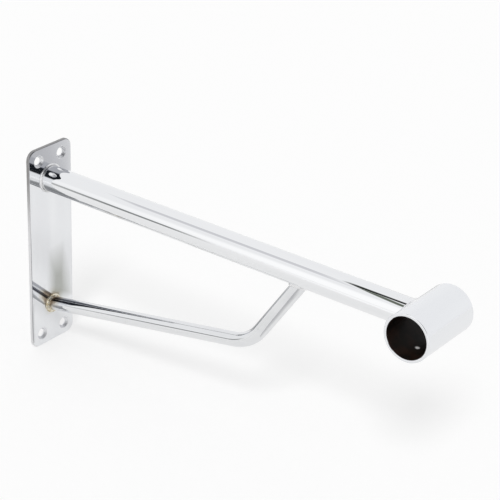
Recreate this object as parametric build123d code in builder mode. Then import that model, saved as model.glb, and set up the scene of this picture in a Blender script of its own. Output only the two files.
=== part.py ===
from build123d import *
import math
import os

# A welded and chrome-plated wall bracket that holds a round curtain rail clear of the wall.
# A flat plate screws to the wall. A round tube stands straight out of it and carries a short
# open sleeve across its end, for the rail. A bent round bar braces the tube from below.
#
# Frame: +X points out of the wall along the arm, +Y along the rail, +Z up.
# The origin is the middle of the plate's back face, which lies on the wall.
# Lengths are in millimetres and angles in degrees.

# Wall plate, cut from flat bar
plate_height = 182.0
plate_width = 50.0
plate_thickness = 3.0
plate_corner_radius = 8.0
plate_front_edge_radius = 0.8
plate_back_edge_chamfer = 0.3

# Countersunk screw holes, one in each corner, set in from the plate's ends and sides
screw_end_inset = 10.75
screw_side_inset = 11.75
screw_hole_diameter = 7.0
countersink_diameter = 11.0
countersink_angle = 90.0

# Arm, a round tube
arm_diameter = 22.0
arm_wall = 1.5
arm_below_plate_top = 29.5
arm_reach = 371.0

# Rail sleeve, a short tube across the end of the arm that the rail slides through
rail_diameter = 32.0
rail_clearance = 0.6
sleeve_wall = 2.4
sleeve_length = 60.0
sleeve_below_arm = 2.0
sleeve_outer_edge_radius = 0.6
sleeve_bore_chamfer = 0.3

# Brace, a solid round bar that rises gently to its one bend and then steeply to the arm
brace_diameter = 12.0
brace_above_plate_foot = 35.5
brace_run_slope = 10.8
brace_riser_slope = 56.3
brace_reach = 265.5
brace_bend_radius = 40.0

# Leg of each fillet weld along the faces that it joins, and how far its crown is rounded
arm_plate_weld_leg = 1.8
brace_plate_weld_leg = 2.8
brace_arm_weld_leg = 2.2
arm_sleeve_weld_leg = 1.3
weld_roundness = 0.9

# Sizes and places that follow
screw_spacing_up = plate_height - 2 * screw_end_inset
screw_spacing_across = plate_width - 2 * screw_side_inset
arm_height = plate_height / 2 - arm_below_plate_top
brace_height = brace_above_plate_foot - plate_height / 2
arm_radius = arm_diameter / 2
arm_length = arm_reach - plate_thickness
sleeve_bore_radius = rail_diameter / 2 + rail_clearance
sleeve_radius = sleeve_bore_radius + sleeve_wall
sleeve_height = arm_height - sleeve_below_arm
run_rise = math.tan(math.radians(brace_run_slope))
riser_rise = math.tan(math.radians(brace_riser_slope))
brace_start = Vector(plate_thickness, 0, brace_height)
brace_end = Vector(brace_reach, 0, arm_height)
bend_out = (
    brace_end.Z - brace_start.Z + run_rise * brace_start.X - riser_rise * brace_end.X
) / (run_rise - riser_rise)
brace_bend = Vector(bend_out, 0, brace_start.Z + run_rise * (bend_out - brace_start.X))
run_direction = (brace_bend - brace_start).normalized()
brace_tail = brace_start - run_direction * brace_diameter

plate_front = Plane.YZ.offset(plate_thickness)
arm_foot = Plane(origin=(plate_thickness, 0, arm_height), x_dir=(0, 1, 0), z_dir=(1, 0, 0))
sleeve_middle = Plane(origin=(arm_reach, 0, sleeve_height), x_dir=(1, 0, 0), z_dir=(0, -1, 0))
run_foot = Plane(origin=brace_tail, x_dir=(0, 1, 0), z_dir=run_direction)
riser_head = Plane(origin=brace_end, x_dir=(0, 1, 0), z_dir=brace_bend - brace_end)


def round_bar(plane, radius, length, both=False):
    """A plain round bar that stands on a plane, for cutting and fitting the real pieces."""
    with BuildPart() as bar:
        with BuildSketch(plane):
            Circle(radius)
        extrude(amount=length, both=both)
    return bar.part


def bent_bar():
    """The brace before its ends are cut, from behind the plate's face to the arm's middle line."""
    with BuildPart() as bar:
        with BuildLine() as route:
            FilletPolyline(brace_tail, brace_bend, brace_end, radius=brace_bend_radius)
        with BuildSketch(run_foot):
            Circle(brace_diameter / 2)
        sweep(path=route.line)
    return bar.part


arm_core = round_bar(arm_foot, arm_radius, arm_length)
sleeve_core = round_bar(sleeve_middle, sleeve_radius, sleeve_length / 2, both=True)
brace_core = bent_bar()

# Wall plate: rounded at its corners and front edge, and countersunk from the front
with BuildPart() as wall_plate:
    with BuildSketch(Plane.YZ):
        RectangleRounded(plate_width, plate_height, plate_corner_radius)
    extrude(amount=plate_thickness)
    fillet(wall_plate.faces().sort_by(Axis.X)[-1].edges(), plate_front_edge_radius)
    chamfer(wall_plate.faces().sort_by(Axis.X)[0].edges(), plate_back_edge_chamfer)
    with Locations(plate_front):
        with GridLocations(screw_spacing_across, screw_spacing_up, 2, 2):
            CounterSinkHole(
                radius=screw_hole_diameter / 2,
                counter_sink_radius=countersink_diameter / 2,
                counter_sink_angle=countersink_angle,
            )

# Arm: square end on the plate, and the other end coped to the round of the sleeve
with BuildPart() as arm_tube:
    with BuildSketch(arm_foot):
        Circle(arm_radius)
        Circle(arm_radius - arm_wall, mode=Mode.SUBTRACT)
    extrude(amount=arm_length)
    add(sleeve_core, mode=Mode.SUBTRACT)

# Rail sleeve: open at both ends, with its cut edges broken
with BuildPart() as rail_sleeve:
    with BuildSketch(sleeve_middle):
        Circle(sleeve_radius)
        Circle(sleeve_bore_radius, mode=Mode.SUBTRACT)
    extrude(amount=sleeve_length / 2, both=True)
    rims = rail_sleeve.edges().filter_by(GeomType.CIRCLE).group_by(SortBy.RADIUS)
    fillet(rims[-1], sleeve_outer_edge_radius)
    chamfer(rims[0], sleeve_bore_chamfer)

# Brace: one bend, cut flush with the plate's face and coped to the underside of the arm
with BuildPart() as brace_rod:
    add(brace_core)
    split(bisect_by=plate_front, keep=Keep.TOP)
    add(arm_core, mode=Mode.SUBTRACT)

# Bead round the arm's foot
with BuildPart() as weld_arm_to_plate:
    with BuildSketch(arm_foot):
        Circle(arm_radius + arm_plate_weld_leg)
    extrude(amount=arm_plate_weld_leg)
    crown = weld_arm_to_plate.faces().sort_by(Axis.X)[-1].edges()
    fillet(crown, weld_roundness * arm_plate_weld_leg)
    add(arm_core, mode=Mode.SUBTRACT)

# Bead round the brace's foot, which meets the plate at a slant
with BuildPart() as weld_brace_to_plate:
    with BuildSketch(run_foot):
        Circle(brace_diameter / 2 + brace_plate_weld_leg)
    extrude(amount=2 * brace_diameter)
    split(bisect_by=plate_front, keep=Keep.TOP)
    split(bisect_by=plate_front.offset(brace_plate_weld_leg), keep=Keep.BOTTOM)
    crown = weld_brace_to_plate.faces().sort_by(Axis.X)[-1].edges()
    fillet(crown, weld_roundness * brace_plate_weld_leg)
    add(brace_core, mode=Mode.SUBTRACT)

# Bead round the brace's head: a thicker bar within a thicker arm, less the bar and the arm
with BuildPart() as weld_brace_to_arm:
    with BuildSketch(riser_head):
        Circle(brace_diameter / 2 + brace_arm_weld_leg)
    extrude(amount=2 * arm_diameter)
    add(round_bar(arm_foot, arm_radius + brace_arm_weld_leg, arm_length), mode=Mode.INTERSECT)
    crown = weld_brace_to_arm.edges().filter_by(GeomType.BSPLINE)
    fillet(crown, weld_roundness * brace_arm_weld_leg)
    add([arm_core, brace_core], mode=Mode.SUBTRACT)

# Bead round the arm's coped end, made in the same way against the sleeve
with BuildPart() as weld_arm_to_sleeve:
    with BuildSketch(arm_foot):
        Circle(arm_radius + arm_sleeve_weld_leg)
    extrude(amount=arm_length)
    add(
        round_bar(sleeve_middle, sleeve_radius + arm_sleeve_weld_leg, sleeve_length / 2, both=True),
        mode=Mode.INTERSECT,
    )
    crown = weld_arm_to_sleeve.edges().filter_by(GeomType.BSPLINE)
    fillet(crown, weld_roundness * arm_sleeve_weld_leg)
    add([arm_core, sleeve_core], mode=Mode.SUBTRACT)

wall_plate.part.label = "wall_plate"
arm_tube.part.label = "arm_tube"
rail_sleeve.part.label = "rail_sleeve"
brace_rod.part.label = "brace_rod"
weld_arm_to_plate.part.label = "weld_arm_to_plate"
weld_brace_to_plate.part.label = "weld_brace_to_plate"
weld_brace_to_arm.part.label = "weld_brace_to_arm"
weld_arm_to_sleeve.part.label = "weld_arm_to_sleeve"

os.makedirs("parts", exist_ok=True)
export_step(wall_plate.part, "parts/wall_plate.step")
export_step(arm_tube.part, "parts/arm_tube.step")
export_step(rail_sleeve.part, "parts/rail_sleeve.step")
export_step(brace_rod.part, "parts/brace_rod.step")
export_step(weld_arm_to_plate.part, "parts/weld_arm_to_plate.step")
export_step(weld_brace_to_plate.part, "parts/weld_brace_to_plate.step")
export_step(weld_brace_to_arm.part, "parts/weld_brace_to_arm.step")
export_step(weld_arm_to_sleeve.part, "parts/weld_arm_to_sleeve.step")
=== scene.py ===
"""Dresses a chrome-plated curtain rail bracket and stands it in a white light tent.

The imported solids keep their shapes, and each gets a plated finish of its own. The four welds are
laid again over their solids as rippled beads. Lengths are in metres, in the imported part's frame:
+X out of the wall along the arm, +Y along the rail and +Z up.
"""

import logging
import math
from dataclasses import dataclass
from enum import Enum

import bpy
from mathutils import Matrix, Vector


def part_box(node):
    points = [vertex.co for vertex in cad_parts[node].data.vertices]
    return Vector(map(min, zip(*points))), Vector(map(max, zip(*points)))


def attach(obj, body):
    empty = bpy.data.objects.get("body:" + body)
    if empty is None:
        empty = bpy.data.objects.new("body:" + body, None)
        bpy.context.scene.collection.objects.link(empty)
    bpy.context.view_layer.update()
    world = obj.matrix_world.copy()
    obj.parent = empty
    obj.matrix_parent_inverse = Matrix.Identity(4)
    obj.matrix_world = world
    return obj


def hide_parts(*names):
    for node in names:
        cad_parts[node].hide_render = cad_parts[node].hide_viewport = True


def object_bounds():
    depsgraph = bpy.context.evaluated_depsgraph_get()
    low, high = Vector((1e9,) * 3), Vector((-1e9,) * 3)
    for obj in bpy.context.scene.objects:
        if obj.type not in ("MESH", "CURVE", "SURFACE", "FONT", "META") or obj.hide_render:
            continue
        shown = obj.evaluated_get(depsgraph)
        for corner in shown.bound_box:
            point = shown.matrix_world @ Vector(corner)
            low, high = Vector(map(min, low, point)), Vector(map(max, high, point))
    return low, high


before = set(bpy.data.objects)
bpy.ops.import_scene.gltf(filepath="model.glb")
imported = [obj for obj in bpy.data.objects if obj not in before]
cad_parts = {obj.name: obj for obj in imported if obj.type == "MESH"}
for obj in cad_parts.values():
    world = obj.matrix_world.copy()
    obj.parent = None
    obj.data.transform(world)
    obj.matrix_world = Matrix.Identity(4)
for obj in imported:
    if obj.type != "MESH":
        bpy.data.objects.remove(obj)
solid_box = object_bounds()

Colour = tuple[float, float, float]
Point = tuple[float, float, float]
Spot = tuple[float, float]
Span = tuple[float, float]
Socket = bpy.types.NodeSocket

MM = 0.001
BODY = "root"
WHITE = (1.0, 1.0, 1.0, 1.0)

# Where a Mix node keeps the share and the two colours that it mixes, and the colour that it gives
MIX_SHARE, MIX_FIRST, MIX_SECOND, MIX_RESULT = 0, 6, 7, 2

workshop = logging.getLogger("rail_bracket")


class GrainWay(Enum):
    """The way that a piece was drawn, rolled or polished, as a stretch of its surface noise."""

    ALONG_ARM = (0.06, 1.0, 1.0)
    ALONG_RAIL = (1.0, 0.08, 1.0)
    UP_PLATE = (1.0, 1.0, 0.1)
    ALL_ROUND = (1.0, 1.0, 1.0)


class FinishSheet:
    """A material's node tree, with short calls for the nodes that the finishes share."""

    def __init__(self, name: str) -> None:
        """Starts a principled material.

        Args:
            name: The material's name.
        """
        self.material = bpy.data.materials.new(name)
        self.material.use_nodes = True
        self.tree = self.material.node_tree
        self.shader = self.tree.nodes["Principled BSDF"]

    def node(self, kind: str, **settings: object) -> bpy.types.Node:
        """Adds a node.

        Args:
            kind: The node's type, without its ShaderNode prefix.
            **settings: Properties to set on it.

        Returns:
            The new node.
        """
        made = self.tree.nodes.new("ShaderNode" + kind)
        for name, value in settings.items():
            setattr(made, name, value)
        return made

    def feed(self, socket: Socket, value: object) -> None:
        """Links a socket to an input, or sets the input to a value.

        Args:
            socket: The input to fill.
            value: A socket, a number, a vector or a colour.
        """
        if isinstance(value, bpy.types.NodeSocket):
            self.tree.links.new(value, socket)
        elif isinstance(value, tuple) and socket.type == "RGBA":
            socket.default_value = (*value, 1.0)
        else:
            socket.default_value = value

    def give(self, name: str, value: object) -> None:
        """Fills the shader's input of a name."""
        self.feed(self.shader.inputs[name], value)

    def given(self, name: str) -> Socket:
        """Returns the socket that feeds the shader's input of a name."""
        return self.shader.inputs[name].links[0].from_socket

    def roughen(self, share: Socket, roughness: float) -> None:
        """Raises the shader's roughness where a share is high.

        Args:
            share: Where it is raised, from 0 to 1.
            roughness: The roughness where the share is 1.
        """
        smooth = self.given("Roughness")
        self.give("Roughness", self.combine("MAXIMUM", self.combine("MULTIPLY", share, roughness), smooth))

    def place(self) -> Socket:
        """Returns the surface point in the part's frame, in metres."""
        return self.node("TexCoord").outputs["Object"]

    def stretch(self, vector: Socket, scale: Point) -> Socket:
        """Scales a vector on each axis.

        Args:
            vector: The vector to scale.
            scale: A factor for each axis.

        Returns:
            The scaled vector.
        """
        made = self.node("VectorMath", operation="MULTIPLY")
        self.feed(made.inputs[0], vector)
        self.feed(made.inputs[1], scale)
        return made.outputs["Vector"]

    def noise(self, vector: Socket, size: float, detail: float = 2.0) -> Socket:
        """Makes a noise pattern.

        Args:
            vector: Where to read the pattern.
            size: The size of its features, in metres.
            detail: How many finer layers it has.

        Returns:
            The pattern, from about 0 to 1.
        """
        made = self.node("TexNoise")
        self.feed(made.inputs["Vector"], vector)
        self.feed(made.inputs["Scale"], 1.0 / size)
        self.feed(made.inputs["Detail"], detail)
        return made.outputs["Fac"]

    def combine(self, operation: str, first: object, second: object) -> Socket:
        """Combines two values with a math node.

        Args:
            operation: The math node's operation.
            first: A socket or a number.
            second: A socket or a number.

        Returns:
            The result.
        """
        made = self.node("Math", operation=operation)
        self.feed(made.inputs[0], first)
        self.feed(made.inputs[1], second)
        return made.outputs[0]

    def rise(
        self, value: Socket, low: float, high: float, to_low: float = 0.0, to_high: float = 1.0
    ) -> Socket:
        """Maps a range smoothly to another, and holds the ends.

        Args:
            value: The value to map.
            low: Where the rise starts.
            high: Where the rise ends.
            to_low: The result at and before the start.
            to_high: The result at and after the end.

        Returns:
            The mapped value.
        """
        made = self.node("MapRange", interpolation_type="SMOOTHSTEP")
        for name, number in (("From Min", low), ("From Max", high), ("To Min", to_low), ("To Max", to_high)):
            self.feed(made.inputs[name], number)
        self.feed(made.inputs["Value"], value)
        return made.outputs["Result"]

    def tint(self, share: object, first: object, second: object) -> Socket:
        """Mixes two colours.

        Args:
            share: How much of the second colour shows, from 0 to 1.
            first: A colour or a socket.
            second: A colour or a socket.

        Returns:
            The mixed colour.
        """
        made = self.node("Mix", data_type="RGBA")
        self.feed(made.inputs[MIX_SHARE], share)
        self.feed(made.inputs[MIX_FIRST], first)
        self.feed(made.inputs[MIX_SECOND], second)
        return made.outputs[MIX_RESULT]

    def reach(self, vector: Socket, centre: Point) -> Socket:
        """Measures how far a place is from a point of the part's frame.

        Args:
            vector: The place.
            centre: The point.

        Returns:
            The distance, in metres.
        """
        made = self.node("VectorMath", operation="DISTANCE")
        self.feed(made.inputs[0], vector)
        self.feed(made.inputs[1], centre)
        return made.outputs["Value"]

    def parts(self, vector: Socket) -> tuple[Socket, Socket, Socket]:
        """Takes a vector apart.

        Args:
            vector: The vector.

        Returns:
            Its X, Y and Z.
        """
        made = self.node("SeparateXYZ")
        self.feed(made.inputs[0], vector)
        return made.outputs[0], made.outputs[1], made.outputs[2]

    def relief(self, height: Socket, depth: float, below: Socket | None = None) -> Socket:
        """Makes a bump.

        Args:
            height: The pattern of heights, from 0 to 1.
            depth: How deep it is, in metres.
            below: A normal that it is laid over, if any.

        Returns:
            The bent normal.
        """
        made = self.node("Bump")
        self.feed(made.inputs["Distance"], depth)
        self.feed(made.inputs["Height"], height)
        if below is not None:
            self.feed(made.inputs["Normal"], below)
        return made.outputs["Normal"]


@dataclass(frozen=True)
class BrightPlating:
    """Mirror-bright chrome over drawn or rolled steel."""

    name: str
    pale: Colour
    deep: Colour
    grain: GrainWay
    smooth: float
    hazy: float
    cloud_size: float = 18 * MM
    cloud_detail: float = 3.0
    cloud_tint: Span = (0.3, 0.7)
    cloud_haze: Span = (0.25, 0.8)
    line_size: float = 0.35 * MM
    line_detail: float = 2.0
    line_haze: Span = (0.35, 0.75)
    line_depth: float = 0.0004 * MM
    wave_size: float = 9 * MM
    wave_detail: float = 1.0
    wave_depth: float = 0.004 * MM

    def sheet(self) -> FinishSheet:
        """Builds the plating's nodes.

        Returns:
            The sheet, with colour, roughness and relief in place.
        """
        sheet = FinishSheet(self.name)
        along = sheet.stretch(sheet.place(), self.grain.value)
        cloud = sheet.noise(along, self.cloud_size, self.cloud_detail)
        lines = sheet.noise(along, self.line_size, self.line_detail)
        waves = sheet.noise(along, self.wave_size, self.wave_detail)
        sheet.give("Base Color", sheet.tint(sheet.rise(cloud, *self.cloud_tint), self.pale, self.deep))
        haze = sheet.combine(
            "MULTIPLY", sheet.rise(lines, *self.line_haze), sheet.rise(cloud, *self.cloud_haze)
        )
        sheet.give("Roughness", sheet.rise(haze, 0.0, 1.0, self.smooth, self.hazy))
        wavy = sheet.relief(waves, self.wave_depth)
        sheet.give("Normal", sheet.relief(lines, self.line_depth, wavy))
        sheet.give("Metallic", 1.0)
        return sheet


@dataclass(frozen=True)
class HeatStain:
    """The straw and brown that welding heat leaves in plating round a bead."""

    start: float
    straw_at: float
    end: float
    brown: Colour
    straw: Colour
    strength: float
    rise_bias: float
    uneven_size: float = 5 * MM
    uneven_detail: float = 3.0
    uneven_share: float = 0.35

    def lay(self, sheet: FinishSheet, centre: Point) -> None:
        """Stains a finish round the bead.

        Args:
            sheet: The plating to stain. Its colour is kept where the heat didn't reach.
            centre: The middle of the stain.
        """
        place = sheet.place()
        up = sheet.combine("SUBTRACT", sheet.parts(place)[2], centre[2])
        lean = sheet.combine("MULTIPLY", up, self.rise_bias)
        uneven = sheet.combine("SUBTRACT", sheet.noise(place, self.uneven_size, self.uneven_detail), 0.5)
        drift = sheet.combine("MULTIPLY", uneven, self.uneven_share * self.end)
        reach = sheet.combine("ADD", sheet.combine("SUBTRACT", sheet.reach(place, centre), lean), drift)
        ring = sheet.tint(sheet.rise(reach, self.start, self.straw_at), self.brown, self.straw)
        share = sheet.rise(reach, self.start, self.end, self.strength, 0.0)
        sheet.give("Base Color", sheet.tint(share, sheet.given("Base Color"), ring))


@dataclass(frozen=True)
class BoreScale:
    """Dull brown scale inside a tube, where the plating didn't reach, with a painted glint on its wall."""

    radius: float
    # the painted glint: a near-white spot on the bore's wall that stands in for a lamp's highlight
    painted_glint: Point
    edge: float = 0.15 * MM
    painted_glint_size: float = 2.3 * MM
    painted_glint_core: float = 0.4
    painted_glint_tone: Colour = (0.95, 0.93, 0.92)
    dark: Colour = (0.008, 0.0058, 0.0046)
    brown: Colour = (0.022, 0.0105, 0.0070)
    patch_size: float = 9 * MM
    patch_detail: float = 4.0
    patch_tint: Span = (0.35, 0.7)
    roughness: float = 0.42
    gloss: float = 0.12
    plated_gloss: float = 0.5

    def lay(self, sheet: FinishSheet, axis: Vector) -> None:
        """Covers the bore of a plated piece with scale and a painted glint.

        Args:
            sheet: The plating, which stays outside the bore.
            axis: A point of the bore's middle line, which runs along Y.
        """
        place = sheet.place()
        across, _, up = sheet.parts(place)
        off_x = sheet.combine("POWER", sheet.combine("SUBTRACT", across, axis.x), 2.0)
        off_z = sheet.combine("POWER", sheet.combine("SUBTRACT", up, axis.z), 2.0)
        radius = sheet.combine("SQRT", sheet.combine("ADD", off_x, off_z), 0.0)
        plated = sheet.rise(radius, self.radius, self.radius + self.edge)
        patches = sheet.noise(place, self.patch_size, self.patch_detail)
        scale = sheet.tint(sheet.rise(patches, *self.patch_tint), self.dark, self.brown)
        # painted glint: a near-white spot on the bore's wall stands in for a lamp's highlight
        core = self.painted_glint_core * self.painted_glint_size
        glint_share = sheet.rise(sheet.reach(place, self.painted_glint), core, self.painted_glint_size, 1.0, 0.0)
        scale = sheet.tint(glint_share, scale, self.painted_glint_tone)
        sheet.give("Specular IOR Level", sheet.rise(plated, 0.0, 1.0, self.gloss, self.plated_gloss))
        sheet.give("Base Color", sheet.tint(plated, scale, sheet.given("Base Color")))
        sheet.roughen(sheet.combine("SUBTRACT", 1.0, plated), self.roughness)
        sheet.give("Metallic", plated)


@dataclass(frozen=True)
class SawnEdgeAndShade:
    """The duller, greyer plating on the plate's sawn sides, with painted shade that darkens them towards the
    top.
    """

    starts_behind: float = 0.01 * MM
    full_behind: float = 0.12 * MM
    low: float = 10 * MM
    high: float = 75 * MM
    low_tone: Colour = (0.80, 0.80, 0.81)
    # painted shade: the dark grey that the sides reach at the top
    painted_shade_tone: Colour = (0.34, 0.335, 0.335)
    roughness: float = 0.45

    def lay(self, sheet: FinishSheet, front: float) -> None:
        """Dulls the plating behind the plate's front face, and paints shade that darkens it towards the top.

        Args:
            sheet: The plating, which stays bright on the front face.
            front: Where the front face stands, along X.
        """
        across, _, up = sheet.parts(sheet.place())
        share = sheet.rise(across, front - self.full_behind, front - self.starts_behind, 1.0, 0.0)
        # painted shade: the sides turn from the pale low tone to dark grey towards the top
        tone = sheet.tint(sheet.rise(up, self.low, self.high), self.low_tone, self.painted_shade_tone)
        sheet.give("Base Color", sheet.tint(share, sheet.given("Base Color"), tone))
        sheet.roughen(share, self.roughness)


@dataclass(frozen=True)
class TurnedSeats:
    """The fine rings that a countersink leaves in the four screw holes."""

    aside: float
    up: float
    radius: float
    edge: float = 0.1 * MM
    ring_pitch: float = 0.4 * MM
    ring_depth: float = 0.01 * MM
    tone: Colour = (0.90, 0.905, 0.92)
    roughness: float = 0.28

    def lay(self, sheet: FinishSheet) -> None:
        """Turns the plating dull within the countersinks.

        Args:
            sheet: The plating, which stays bright round them.
        """
        _, aside, up = sheet.parts(sheet.place())
        off_aside = sheet.combine("SUBTRACT", sheet.combine("ABSOLUTE", aside, 0.0), self.aside)
        off_up = sheet.combine("SUBTRACT", sheet.combine("ABSOLUTE", up, 0.0), self.up)
        squares = [sheet.combine("POWER", off, 2.0) for off in (off_aside, off_up)]
        reach = sheet.combine("SQRT", sheet.combine("ADD", *squares), 0.0)
        inside = sheet.rise(reach, self.radius - self.edge, self.radius + self.edge, 1.0, 0.0)
        rings = sheet.combine("SINE", sheet.combine("MULTIPLY", reach, math.tau / self.ring_pitch), 0.0)
        sheet.give("Base Color", sheet.tint(inside, sheet.given("Base Color"), self.tone))
        sheet.roughen(inside, self.roughness)
        relief = sheet.combine("MULTIPLY", rings, inside)
        sheet.give("Normal", sheet.relief(relief, self.ring_depth, sheet.given("Normal")))


def clothe(piece: bpy.types.Object, material: bpy.types.Material) -> None:
    """Puts one material in every slot of a piece.

    Args:
        piece: The piece to clothe.
        material: Its finish.
    """
    if not piece.material_slots:
        piece.data.materials.append(material)
    for slot in piece.material_slots:
        slot.material = material


def middle(node: str) -> Vector:
    """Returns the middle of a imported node's box."""
    low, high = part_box(node)
    return (low + high) / 2


@dataclass
class WallPlate:
    """The flat plate with its screw holes, and the heat stain above the brace's foot."""

    node: str = "wall_plate"
    brace_weld: str = "weld_brace_to_plate"
    plating: BrightPlating = BrightPlating(
        "plate_chrome",
        pale=(0.91, 0.92, 0.935),
        deep=(0.86, 0.87, 0.89),
        grain=GrainWay.UP_PLATE,
        smooth=0.05,
        hazy=0.10,
    )
    stain: HeatStain = HeatStain(
        start=7.5 * MM,
        straw_at=9.5 * MM,
        end=13.5 * MM,
        brown=(0.50, 0.43, 0.33),
        straw=(0.76, 0.735, 0.66),
        strength=0.7,
        rise_bias=0.15,
    )
    sides: SawnEdgeAndShade = SawnEdgeAndShade()
    seats: TurnedSeats = TurnedSeats(aside=13.25 * MM, up=80.25 * MM, radius=5.6 * MM)

    def dress(self) -> None:
        """Plates the solid, stains it round the brace's weld, dulls its sides and screw seats and paints
        shade on its sides towards the top.
        """
        sheet = self.plating.sheet()
        foot = middle(self.brace_weld)
        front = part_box(self.node)[1].x
        self.stain.lay(sheet, (front, foot.y, foot.z))
        self.sides.lay(sheet, front)
        self.seats.lay(sheet)
        clothe(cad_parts[self.node], sheet.material)


@dataclass
class ArmTube:
    """The straight tube that carries the sleeve."""

    node: str = "arm_tube"
    plating: BrightPlating = BrightPlating(
        "arm_chrome",
        pale=(0.90, 0.905, 0.915),
        deep=(0.86, 0.868, 0.88),
        grain=GrainWay.ALONG_ARM,
        smooth=0.014,
        hazy=0.04,
    )

    def dress(self) -> None:
        """Plates the solid with the grain of drawn tube."""
        clothe(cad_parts[self.node], self.plating.sheet().material)


@dataclass
class RailSleeve:
    """The short open tube that the rail slides through."""

    node: str = "rail_sleeve"
    plating: BrightPlating = BrightPlating(
        "sleeve_chrome",
        pale=(0.89, 0.90, 0.915),
        deep=(0.86, 0.87, 0.89),
        grain=GrainWay.ALONG_RAIL,
        smooth=0.10,
        hazy=0.17,
        wave_depth=0.002 * MM,
    )
    # the last point is where the painted glint sits on the bore's wall
    bore: BoreScale = BoreScale(radius=16.62 * MM, painted_glint=(369.5 * MM, -10.3 * MM, 43.0 * MM))

    def dress(self) -> None:
        """Plates the solid outside and leaves brown scale in its bore, with a painted glint."""
        sheet = self.plating.sheet()
        self.bore.lay(sheet, middle(self.node))
        clothe(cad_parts[self.node], sheet.material)


@dataclass
class BraceRod:
    """The bent round bar below the arm."""

    node: str = "brace_rod"
    foot_weld: str = "weld_brace_to_plate"
    plating: BrightPlating = BrightPlating(
        "brace_chrome_and_shade",
        # chrome with painted shade: these tones are darker than the other pieces', so the brace reads greyer
        pale=(0.85, 0.855, 0.865),
        deep=(0.79, 0.798, 0.81),
        grain=GrainWay.ALONG_ARM,
        smooth=0.05,
        hazy=0.10,
    )
    stain: HeatStain = HeatStain(
        start=4.5 * MM,
        straw_at=8 * MM,
        end=12 * MM,
        brown=(0.26, 0.19, 0.12),
        straw=(0.60, 0.53, 0.40),
        strength=0.9,
        rise_bias=0.75,
    )

    def dress(self) -> None:
        """Plates the solid and browns it beyond the bead at its foot."""
        sheet = self.plating.sheet()
        foot = middle(self.foot_weld)
        self.stain.lay(sheet, (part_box(self.foot_weld)[0].x, foot.y, foot.z))
        clothe(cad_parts[self.node], sheet.material)


class Ground(Enum):
    """What a bar is welded to: a flat face across X, or a round piece along X or along Y."""

    FACE = (1.0, 0.0, 0.0)
    ROUND_ALONG_X = (0.0, 1.0, 1.0)
    ROUND_ALONG_Y = (1.0, 0.0, 1.0)


@dataclass(frozen=True)
class Seat:
    """The surface that a bar is welded to."""

    ground: Ground
    centre: Vector
    radius: float = 0.0

    def offset(self, point: Vector) -> Vector:
        """Returns the way from the seat's face or axis to a point."""
        mask = self.ground.value
        return Vector((point[i] - self.centre[i]) * mask[i] for i in range(3))

    def normal(self, point: Vector) -> Vector:
        """Finds which way the seat faces.

        Args:
            point: A point beside the seat.

        Returns:
            The seat's outward normal there.
        """
        if self.ground is Ground.FACE:
            return Vector(self.ground.value)
        return self.offset(point).normalized()

    def settle(self, point: Vector) -> Vector:
        """Returns the point of the seat nearest to a point."""
        away = self.offset(point)
        return point - away + self.normal(point) * self.radius

    def meet(self, start: Vector, way: Vector) -> Vector:
        """Finds where a line that leaves the seat starts from it.

        Args:
            start: A point of the line.
            way: The line's direction, away from the seat.

        Returns:
            The line's last point on the seat.
        """
        mask = self.ground.value
        run = Vector(way[i] * mask[i] for i in range(3))
        gap = self.offset(start)
        if self.ground is Ground.FACE:
            return start - way * (gap.dot(run) / run.dot(run))
        half = gap.dot(run) / run.dot(run)
        rest = (gap.dot(gap) - self.radius**2) / run.dot(run)
        return start + way * (math.sqrt(half * half - rest) - half)


@dataclass(frozen=True)
class WeldFinish:
    """Plated weld metal, finely pitted, and stained in patches where it was hot."""

    name: str
    bright: Colour
    stained: Colour
    stain_size: float = 2.5 * MM
    stain_detail: float = 3.0
    stain_tint: Span = (0.35, 0.65)
    smooth: float = 0.10
    rough: float = 0.30
    pit_size: float = 0.25 * MM
    pit_detail: float = 2.0
    pit_haze: Span = (0.35, 0.75)
    pit_depth: float = 0.01 * MM

    def sheet(self) -> FinishSheet:
        """Builds the weld metal's nodes.

        Returns:
            The sheet, with colour, roughness and relief in place.
        """
        sheet = FinishSheet(self.name)
        place = sheet.place()
        patches = sheet.noise(place, self.stain_size, self.stain_detail)
        pits = sheet.noise(place, self.pit_size, self.pit_detail)
        stain = sheet.rise(patches, *self.stain_tint)
        sheet.give("Base Color", sheet.tint(stain, self.bright, self.stained))
        sheet.give("Roughness", sheet.rise(pits, *self.pit_haze, self.smooth, self.rough))
        sheet.give("Normal", sheet.relief(pits, self.pit_depth))
        sheet.give("Metallic", 1.0)
        return sheet


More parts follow.
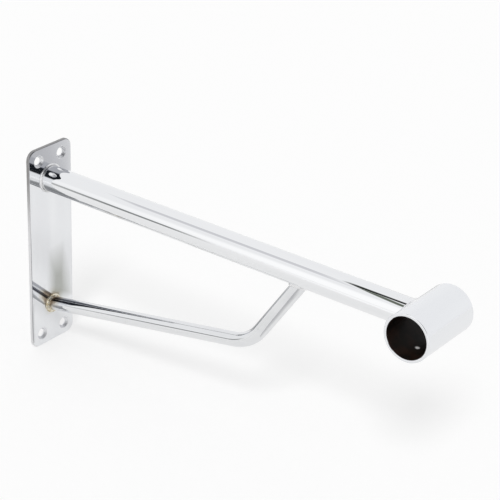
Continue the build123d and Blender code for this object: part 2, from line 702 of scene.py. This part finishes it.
@dataclass
class WeldBead:
    """A fillet bead round the end of a bar, laid as a row of overlapping crescents."""

    node: str
    bar_point: Vector
    bar_way: Vector
    bar_radius: float
    seat: Seat
    leg: float
    finish: WeldFinish
    pitch: float = 1.25 * MM
    steps: int = 10
    rows: int = 14
    sink: float = 0.06 * MM
    crown: float = 0.16
    crest: float = 0.05
    crescent_bow: float = 0.9
    crescent_round: float = 0.7
    fewest_crescents: int = 12
    sway: float = 0.05
    sway_waves: tuple[Point, ...] = ((1.0, 3, 0.7), (0.6, 7, 2.1))

    def ring_place(self, turn: float) -> tuple[Vector, Vector, Vector]:
        """Finds the seam at one angle round the bar.

        Args:
            turn: The angle round the bar.

        Returns:
            The point of the seam, the bar's outward normal there and the seat's.
        """
        side = self.bar_way.orthogonal().normalized()
        other = self.bar_way.cross(side)
        outward = side * math.cos(turn) + other * math.sin(turn)
        seam = self.seat.meet(self.bar_point + outward * self.bar_radius, self.bar_way)
        return seam, outward, self.seat.normal(seam)

    def slice(self, turn: float, count: int) -> list[Vector]:
        """Shapes the bead's section at one angle.

        Args:
            turn: The angle round the bar.
            count: How many crescents lie round the seam.

        Returns:
            The section's points: its toe on the bar, over the crown to its toe on the seat, and its root.
        """
        seam, outward, upward = self.ring_place(turn)
        along = outward.cross(upward).normalized()
        up_bar, over_seat = along.cross(outward), upward.cross(along)
        up_bar = up_bar if up_bar.dot(upward) > 0 else -up_bar
        over_seat = over_seat if over_seat.dot(outward) > 0 else -over_seat
        hand = sum(size * math.sin(times * turn + shift) for size, times, shift in self.sway_waves)
        leg = self.leg * (1 - self.sway + self.sway * hand / 2)
        axis_gap = (seam + up_bar * leg - self.bar_point).cross(self.bar_way).length
        bar_toe = seam + up_bar * leg + outward * (self.bar_radius - axis_gap)
        seat_toe = self.seat.settle(seam + over_seat * leg)
        lift = (outward + upward).normalized()
        points = []
        for row in range(self.rows + 1):
            share = row / self.rows
            bow = math.sin(math.pi * share)
            crescent = turn * count / math.tau + self.crescent_bow * (share - 0.5) ** 2
            beat = abs(math.sin(math.pi * crescent)) ** self.crescent_round
            rise = leg * bow * (self.crown + self.crest * (beat - 0.5))
            points.append(bar_toe.lerp(seat_toe, share) + lift * rise)
        points[0] -= outward * self.sink
        points[-1] -= upward * self.sink
        return [*points, seam - (outward + upward) * self.sink]

    def lay(self) -> None:
        """Lays the bead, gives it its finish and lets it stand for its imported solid."""
        middle_round = math.tau * (self.bar_radius + self.leg / 2)
        count = max(self.fewest_crescents, round(middle_round / self.pitch))
        turns = [math.tau * i / (count * self.steps) for i in range(count * self.steps)]
        slices = [self.slice(turn, count) for turn in turns]
        width = self.rows + 2
        faces = []
        for ring in range(len(slices)):
            here, there = ring * width, (ring + 1) % len(slices) * width
            for i in range(width):
                j = (i + 1) % width
                faces.append((here + i, here + j, there + j, there + i))
        mesh = bpy.data.meshes.new(self.node + "_bead")
        mesh.from_pydata([point for points in slices for point in points], [], faces)
        mesh.update()
        bead = bpy.data.objects.new(self.node + "_bead", mesh)
        bpy.context.scene.collection.objects.link(bead)
        mesh.shade_smooth()
        clothe(bead, self.finish.sheet().material)
        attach(bead, BODY)
        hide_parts(self.node)


@dataclass
class Welds:
    """The four beads that hold the bracket together."""

    run_slope: float = math.radians(10.8)
    riser_slope: float = math.radians(56.3)
    riser_reach: float = 265.5 * MM
    arm_plate_leg: float = 1.8 * MM
    brace_plate_leg: float = 2.8 * MM
    brace_arm_leg: float = 2.2 * MM
    arm_sleeve_leg: float = 1.3 * MM

    def beads(self) -> list[WeldBead]:
        """Works out each bead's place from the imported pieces.

        Returns:
            The beads, from the wall outwards.
        """
        arm, foot, sleeve = middle("arm_tube"), middle("weld_brace_to_plate"), middle("rail_sleeve")
        arm_radius = (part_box("arm_tube")[1].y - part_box("arm_tube")[0].y) / 2
        brace_radius = (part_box("brace_rod")[1].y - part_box("brace_rod")[0].y) / 2
        sleeve_radius = (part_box("rail_sleeve")[1].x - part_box("rail_sleeve")[0].x) / 2
        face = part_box("wall_plate")[1].x
        plate = Seat(Ground.FACE, Vector((face, 0, 0)))
        bright = WeldFinish("bright_weld", (0.90, 0.90, 0.90), (0.80, 0.80, 0.81))
        straw = WeldFinish("straw_weld", (0.88, 0.84, 0.72), (0.60, 0.51, 0.35))
        run = Vector((math.cos(self.run_slope), 0, math.sin(self.run_slope)))
        riser = -Vector((math.cos(self.riser_slope), 0, math.sin(self.riser_slope)))
        return [
            WeldBead(
                "weld_arm_to_plate", Vector((face, arm.y, arm.z)), Vector((1, 0, 0)), arm_radius,
                plate, self.arm_plate_leg, bright, crown=0.22,
            ),
            WeldBead(
                "weld_brace_to_plate", Vector((face, foot.y, self.foot_height())), run, brace_radius,
                plate, self.brace_plate_leg, straw, pitch=1.5 * MM, crown=0.2, crest=0.07, sway=0.08,
            ),
            WeldBead(
                "weld_brace_to_arm", Vector((self.riser_reach, arm.y, arm.z)), riser, brace_radius,
                Seat(Ground.ROUND_ALONG_X, arm, arm_radius), self.brace_arm_leg, bright,
            ),
            WeldBead(
                "weld_arm_to_sleeve", Vector((sleeve.x, arm.y, arm.z)), Vector((-1, 0, 0)), arm_radius,
                Seat(Ground.ROUND_ALONG_Y, sleeve, sleeve_radius), self.arm_sleeve_leg, bright,
            ),
        ]

    def foot_height(self) -> float:
        """Returns the height of the brace's middle line at the plate's face."""
        low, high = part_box("weld_brace_to_plate")
        return (low.z + high.z) / 2 - (high.x - low.x) / 2 * math.tan(self.run_slope)


@dataclass(frozen=True)
class Card:
    """A flat sheet near the part that only shows in its plating, and fades out towards its rim.

    It shows in full within its core. The corners of both are in millimetres.
    """

    name: str
    rim: tuple[Point, ...]
    core: tuple[Point, ...]
    tone: Colour
    one_sided: bool = False

    @classmethod
    def upright(
        cls, name: str, out: float, rim: tuple[Spot, ...], core: tuple[Spot, ...], tone: Colour
    ) -> "Card":
        """Stands a card across X that only shows to what the plate reflects.

        Args:
            name: The card's name.
            out: Its distance from the wall, in millimetres.
            rim: The Y and Z of its rim's corners, clockwise as the wall sees them.
            core: The same for the area that shows in full.
            tone: Its tone.

        Returns:
            The card.
        """
        return cls(
            name,
            tuple((out, *spot) for spot in rim),
            tuple((out, *spot) for spot in core),
            tone,
            one_sided=True,
        )

    def set_up(self) -> None:
        """Makes the sheet and hides it from everything but reflections."""
        count = len(self.rim)
        faces = [tuple(range(count, 2 * count))]
        for i in range(count):
            j = (i + 1) % count
            faces.append((i, j, count + j, count + i))
        mesh = bpy.data.meshes.new(self.name)
        mesh.from_pydata([Vector(p) * MM for p in (*self.rim, *self.core)], [], faces)
        full = mesh.attributes.new("full", "FLOAT", "POINT")
        full.data.foreach_set("value", [0.0] * count + [1.0] * count)
        card = bpy.data.objects.new(self.name, mesh)
        bpy.context.scene.collection.objects.link(card)
        material = bpy.data.materials.new(self.name)
        material.use_nodes = True
        nodes, links = material.node_tree.nodes, material.node_tree.links
        glow = nodes.new("ShaderNodeEmission")
        glow.inputs["Color"].default_value = (*self.tone, 1.0)
        share = nodes.new("ShaderNodeAttribute")
        share.attribute_name = "full"
        fade = nodes.new("ShaderNodeMixShader")
        links.new(share.outputs["Fac"], fade.inputs[0])
        if self.one_sided:
            front = nodes.new("ShaderNodeMath")
            front.operation = "GREATER_THAN"
            links.new(share.outputs["Fac"], front.inputs[0])
            links.new(nodes.new("ShaderNodeNewGeometry").outputs["Backfacing"], front.inputs[1])
            both = nodes.new("ShaderNodeMath")
            both.operation = "MULTIPLY"
            links.new(front.outputs[0], both.inputs[0])
            links.new(share.outputs["Fac"], both.inputs[1])
            links.new(both.outputs[0], fade.inputs[0])
        links.new(nodes.new("ShaderNodeBsdfTransparent").outputs[0], fade.inputs[1])
        links.new(glow.outputs[0], fade.inputs[2])
        links.new(fade.outputs[0], nodes["Material Output"].inputs["Surface"])
        nodes.remove(nodes["Principled BSDF"])
        mesh.materials.append(material)
        card.visible_camera = False
        card.visible_diffuse = False
        card.visible_shadow = False
        card.visible_transmission = False


@dataclass(frozen=True)
class Patch:
    """A round area of the tent's cloth that is darker or brighter than the rest."""

    azimuth: float
    elevation: float
    inner: float
    outer: float
    tone: Colour

    def direction(self) -> Point:
        """Returns the way to the patch, as a unit vector."""
        turn, lift = math.radians(self.azimuth), math.radians(self.elevation)
        return (math.cos(turn) * math.cos(lift), math.sin(turn) * math.cos(lift), math.sin(lift))


@dataclass
class LightTent:
    """The floor, cloth, lamp, cards and camera. The camera's place is in millimetres."""

    cloth: Colour = (0.92, 0.925, 0.935)
    background: float = 0.985
    daylight: float = 0.65
    floor_drop: float = 0.2 * MM
    floor_half: float = 4.0
    floor_paint: float = 0.55
    floor_lift: float = 0.488
    shine_lift: float = 0.40
    far_lift: float = 0.42
    far_span: Span = (0.25, 0.50)
    far_from: float = 0.15
    lamp_way: Point = (-0.42, 0.76, -1.0)
    lamp_strength: float = 1.02
    lamp_angle: float = 16.0
    camera_at: Point = (892.18, -922.19, 637.95)
    camera_right: Point = (0.79303, 0.60815, 0.03535)
    camera_down: Point = (0.29763, -0.33618, -0.89353)
    camera_forward: Point = (-0.53152, 0.71912, -0.44761)
    focal_pixels: float = 1688.254
    picture_pixels: float = 500.0
    sensor_mm: float = 36.0
    patches: tuple[Patch, ...] = (
        Patch(-30, 56, 18, 28, (0.15, 0.155, 0.18)),
        Patch(-29, 36, 20, 27, (0.012, 0.014, 0.018)),
        Patch(-104, 18, 18, 31, (1.08, 1.08, 1.08)),
    )
    cards: tuple[Card, ...] = (
        Card(
            "back_card",
            rim=((182, 225, -91), (336, 225, -91), (336, 225, 32), (182, 225, 32)),
            core=((204, 225, -91), (324, 225, -91), (324, 225, 14), (262, 225, 14)),
            tone=(0.52, 0.522, 0.54),
        ),
        Card(
            "wall_card",
            rim=((330, 15, -91), (330, 15, 720), (330, 640, 720), (330, 640, -91)),
            core=((330, 42, -91), (330, 42, 690), (330, 600, 690), (330, 600, -91)),
            tone=(0.45, 0.455, 0.48),
            one_sided=True,
        ),
        Card.upright(
            "wall_shade",
            out=329,
            rim=(
                (-10, 60), (-10, 330), (110, 330), (200, 190),
                (250, 80), (250, -91), (115, -91), (80, 30),
            ),
            core=(
                (20, 110), (10, 280), (95, 290), (165, 160),
                (210, 60), (210, -91), (130, -91), (105, 60),
            ),
            tone=(0.075, 0.08, 0.095),
        ),
        Card.upright(
            "wall_dark",
            out=328,
            rim=((-190, 100), (-190, 290), (20, 290), (70, 230), (60, 90)),
            core=((-130, 140), (-130, 220), (-15, 250), (35, 210), (30, 120)),
            tone=(0.02, 0.022, 0.028),
        ),
        Card.upright(
            "wall_pale",
            out=327,
            rim=((-340, 0), (-340, 96), (-200, 138), (-150, 138), (-60, 60), (-60, 0)),
            core=((-310, 20), (-310, 82), (-208, 124), (-165, 118), (-90, 50), (-90, 20)),
            tone=(0.76, 0.765, 0.79),
        ),
        Card.upright(
            "foot_fin",
            out=10,
            rim=((-80, -91), (-80, -52), (-15, -52), (-15, -91)),
            core=((-62, -91), (-62, -66), (-21, -66), (-21, -91)),
            tone=(0.34, 0.345, 0.35),
        ),
        Card.upright(
            "near_fin",
            out=38,
            rim=((-38, -91), (-38, -30), (-12, -58), (7, -58), (7, -91)),
            core=((-26, -91), (-26, -50), (-14, -68), (2, -68), (2, -91)),
            tone=(0.42, 0.425, 0.43),
        ),
        Card.upright(
            "second_fin",
            out=60,
            rim=((-34, -91), (-34, -52), (29, -52), (29, -91)),
            core=((-16, -91), (-16, -62), (24, -62), (24, -91)),
            tone=(0.25, 0.255, 0.26),
        ),
        Card.upright(
            "third_fin",
            out=84,
            rim=((-78, -91), (-78, -48), (52, -48), (52, -91)),
            core=((-42, -91), (-42, -58), (47, -58), (47, -91)),
            tone=(0.26, 0.265, 0.27),
        ),
        Card.upright(
            "fourth_fin",
            out=106,
            rim=((-128, -91), (-128, -45), (74, -45), (74, -91)),
            core=((-70, -91), (-70, -58), (69, -58), (69, -91)),
            tone=(0.28, 0.285, 0.29),
        ),
        Card.upright(
            "fifth_fin",
            out=128,
            rim=((-140, -91), (-140, -42), (94, -42), (94, -91)),
            core=((-90, -91), (-90, -60), (88, -60), (88, -91)),
            tone=(0.30, 0.305, 0.31),
        ),
        Card(
            "leaning_card",
            rim=((240, -160, -91), (278, -160, -16), (278, 0, -16), (240, 0, -91)),
            core=((240, -120, -91), (266, -120, -39), (266, -45, -39), (240, -45, -91)),
            tone=(0.56, 0.56, 0.57),
            one_sided=True,
        ),
        Card(
            "wall_sheet",
            rim=(
                (-660, -40, -90.7), (-70, -40, -90.7), (-10, 50, -90.7),
                (-60, 330, -90.7), (-660, 330, -90.7),
            ),
            core=(
                (-500, 50, -90.7), (-120, 40, -90.7), (-90, 80, -90.7),
                (-130, 230, -90.7), (-500, 230, -90.7),
            ),
            tone=(0.47, 0.475, 0.48),
        ),
        Card(
            "floor_shade",
            rim=((44, 34, -90.6), (124, 120, -90.6), (130, 148, -90.6), (44, 72, -90.6)),
            core=((58, 61, -90.6), (82, 87, -90.6), (82, 94, -90.6), (58, 70, -90.6)),
            tone=(0.46, 0.465, 0.435),
        ),
        Card(
            "far_floor",
            rim=(
                (220, -320, -90.5), (-270, -760, -90.5), (-800, -1500, -90.5),
                (900, -1500, -90.5), (900, -320, -90.5),
            ),
            core=(
                (190, -440, -90.5), (-170, -770, -90.5), (-600, -1400, -90.5),
                (800, -1400, -90.5), (800, -440, -90.5),
            ),
            tone=(1.06, 1.06, 1.06),
        ),
        Card(
            "side_card",
            rim=(
                (-540, -500, -91), (-320, -500, -91), (-142, -500, -42),
                (-142, -500, 60), (-540, -500, 60),
            ),
            core=(
                (-300, -500, -40), (-270, -500, -34), (-206, -500, -22),
                (-206, -500, 44), (-300, -500, 44),
            ),
            tone=(0.24, 0.25, 0.25),
        ),
        Card(
            "boom",
            rim=((-340, -300, 600), (10, -300, 600), (10, -55, 600), (-340, -55, 600)),
            core=((-300, -170, 600), (-40, -190, 600), (-40, -115, 600), (-300, -115, 600)),
            tone=(0.62, 0.62, 0.65),
        ),
        Card(
            "boom_head",
            rim=(
                (4, -60, 600), (16, -135, 600), (64, -100, 600),
                (112, -100, 600), (112, 62, 600), (16, 48, 600),
            ),
            core=(
                (18, -60, 600), (30, -106, 600), (62, -80, 600),
                (104, -80, 600), (104, 22, 600), (34, 12, 600),
            ),
            tone=(0.02, 0.023, 0.02),
        ),
        Card(
            "boom_arm",
            rim=(
                (14, -72, 600), (16, -210, 600), (22, -370, 600),
                (88, -370, 600), (96, -200, 600), (60, -90, 600),
            ),
            core=(
                (26, -80, 600), (30, -215, 600), (38, -335, 600),
                (76, -335, 600), (80, -205, 600), (46, -100, 600),
            ),
            tone=(0.13, 0.15, 0.12),
        ),
    )

    def hang_cloth(self) -> None:
        """Builds the world: white to the camera, and the tent's cloth to the plating."""
        world = bpy.data.worlds.new("light_tent")
        bpy.context.scene.world = world
        world.use_nodes = True
        tree = world.node_tree
        tree.nodes.clear()
        way = tree.nodes.new("ShaderNodeTexCoord").outputs["Generated"]
        colour: object = (*self.cloth, 1.0)
        for patch in self.patches:
            facing = tree.nodes.new("ShaderNodeVectorMath")
            facing.operation = "DOT_PRODUCT"
            tree.links.new(way, facing.inputs[0])
            facing.inputs[1].default_value = patch.direction()
            share = tree.nodes.new("ShaderNodeMapRange")
            share.interpolation_type = "SMOOTHSTEP"
            share.inputs["From Min"].default_value = math.cos(math.radians(patch.outer))
            share.inputs["From Max"].default_value = math.cos(math.radians(patch.inner))
            tree.links.new(facing.outputs["Value"], share.inputs["Value"])
            mix = tree.nodes.new("ShaderNodeMix")
            mix.data_type = "RGBA"
            mix.clamp_result = False
            tree.links.new(share.outputs["Result"], mix.inputs[MIX_SHARE])
            if isinstance(colour, tuple):
                mix.inputs[MIX_FIRST].default_value = colour
            else:
                tree.links.new(colour, mix.inputs[MIX_FIRST])
            mix.inputs[MIX_SECOND].default_value = (*patch.tone, 1.0)
            colour = mix.outputs[MIX_RESULT]
        seen = tree.nodes.new("ShaderNodeLightPath")
        cloth = tree.nodes.new("ShaderNodeBackground")
        tree.links.new(colour, cloth.inputs["Color"])
        plain = tree.nodes.new("ShaderNodeBackground")
        plain.inputs["Color"].default_value = WHITE
        plain.inputs["Strength"].default_value = self.daylight
        shine = tree.nodes.new("ShaderNodeMixShader")
        tree.links.new(seen.outputs["Is Glossy Ray"], shine.inputs[0])
        tree.links.new(plain.outputs[0], shine.inputs[1])
        tree.links.new(cloth.outputs[0], shine.inputs[2])
        white = tree.nodes.new("ShaderNodeBackground")
        white.inputs["Color"].default_value = WHITE
        white.inputs["Strength"].default_value = self.background
        view = tree.nodes.new("ShaderNodeMixShader")
        tree.links.new(seen.outputs["Is Camera Ray"], view.inputs[0])
        tree.links.new(shine.outputs[0], view.inputs[1])
        tree.links.new(white.outputs[0], view.inputs[2])
        out = tree.nodes.new("ShaderNodeOutputWorld")
        tree.links.new(view.outputs[0], out.inputs["Surface"])

    def lay_floor(self) -> None:
        """Lays the pale floor just under the part, lifted to white for the camera and the plating."""
        half, height = self.floor_half, solid_box[0].z - self.floor_drop
        mesh = bpy.data.meshes.new("floor")
        mesh.from_pydata(
            [(-half, -half, height), (half, -half, height), (half, half, height), (-half, half, height)],
            [],
            [(0, 1, 2, 3)],
        )
        floor = bpy.data.objects.new("floor", mesh)
        bpy.context.scene.collection.objects.link(floor)
        material = bpy.data.materials.new("white_floor")
        material.use_nodes = True
        nodes, links = material.node_tree.nodes, material.node_tree.links
        paint = nodes["Principled BSDF"]
        paint.inputs["Base Color"].default_value = (self.floor_paint,) * 3 + (1.0,)
        paint.inputs["Roughness"].default_value = 1.0
        paint.inputs["Specular IOR Level"].default_value = 0.0
        seen = nodes.new("ShaderNodeLightPath")
        far = nodes.new("ShaderNodeVectorMath")
        far.operation = "DISTANCE"
        far.inputs[1].default_value = (self.far_from, 0.0, height)
        links.new(nodes.new("ShaderNodeTexCoord").outputs["Object"], far.inputs[0])
        paler = nodes.new("ShaderNodeMapRange")
        paler.interpolation_type = "SMOOTHSTEP"
        paler.inputs["From Min"].default_value = self.far_span[0]
        paler.inputs["From Max"].default_value = self.far_span[1]
        paler.inputs["To Min"].default_value = self.shine_lift
        paler.inputs["To Max"].default_value = self.far_lift
        links.new(far.outputs["Value"], paler.inputs["Value"])
        shine = nodes.new("ShaderNodeMath")
        shine.operation = "MULTIPLY"
        links.new(seen.outputs["Is Glossy Ray"], shine.inputs[0])
        links.new(paler.outputs["Result"], shine.inputs[1])
        lift = nodes.new("ShaderNodeMath")
        lift.operation = "MULTIPLY_ADD"
        lift.inputs[1].default_value = self.floor_lift
        links.new(seen.outputs["Is Camera Ray"], lift.inputs[0])
        links.new(shine.outputs[0], lift.inputs[2])
        paint.inputs["Emission Color"].default_value = WHITE
        links.new(lift.outputs[0], paint.inputs["Emission Strength"])
        mesh.materials.append(material)

    def hang_lamp(self) -> None:
        """Hangs the broad lamp whose light falls past the part to the back left."""
        light = bpy.data.lights.new("broad_lamp", "SUN")
        light.energy = self.lamp_strength
        light.angle = math.radians(self.lamp_angle)
        lamp = bpy.data.objects.new("broad_lamp", light)
        bpy.context.scene.collection.objects.link(lamp)
        lamp.rotation_mode = "QUATERNION"
        lamp.rotation_quaternion = Vector(self.lamp_way).to_track_quat("-Z", "Y")
        lamp.visible_glossy = False

    def stand_camera(self) -> None:
        """Stands the camera where the photograph was taken from."""
        data = bpy.data.cameras.new("camera")
        data.sensor_width = self.sensor_mm
        data.lens = self.sensor_mm * self.focal_pixels / self.picture_pixels
        camera = bpy.data.objects.new("camera", data)
        bpy.context.scene.collection.objects.link(camera)
        columns = (Vector(self.camera_right), -Vector(self.camera_down), -Vector(self.camera_forward))
        turn = Matrix(columns).transposed().to_4x4()
        camera.matrix_world = Matrix.Translation(Vector(self.camera_at) * MM) @ turn
        bpy.context.scene.camera = camera

    def build(self) -> None:
        """Sets up the whole tent."""
        self.hang_cloth()
        self.lay_floor()
        self.hang_lamp()
        for card in self.cards:
            card.set_up()
        self.stand_camera()


def main() -> None:
    """Dresses the bracket, builds the tent round it and reports each step."""
    logging.basicConfig(level=logging.INFO, format="%(name)s: %(message)s")
    bpy.context.scene.view_settings.view_transform = "Standard"
    for piece in (WallPlate(), ArmTube(), RailSleeve(), BraceRod()):
        piece.dress()
        workshop.info("dressed %s", piece.node)
    for bead in Welds().beads():
        bead.lay()
        workshop.info("laid %s", bead.node)
    LightTent().build()
    workshop.info("tent standing")


if __name__ == "__main__":
    main()
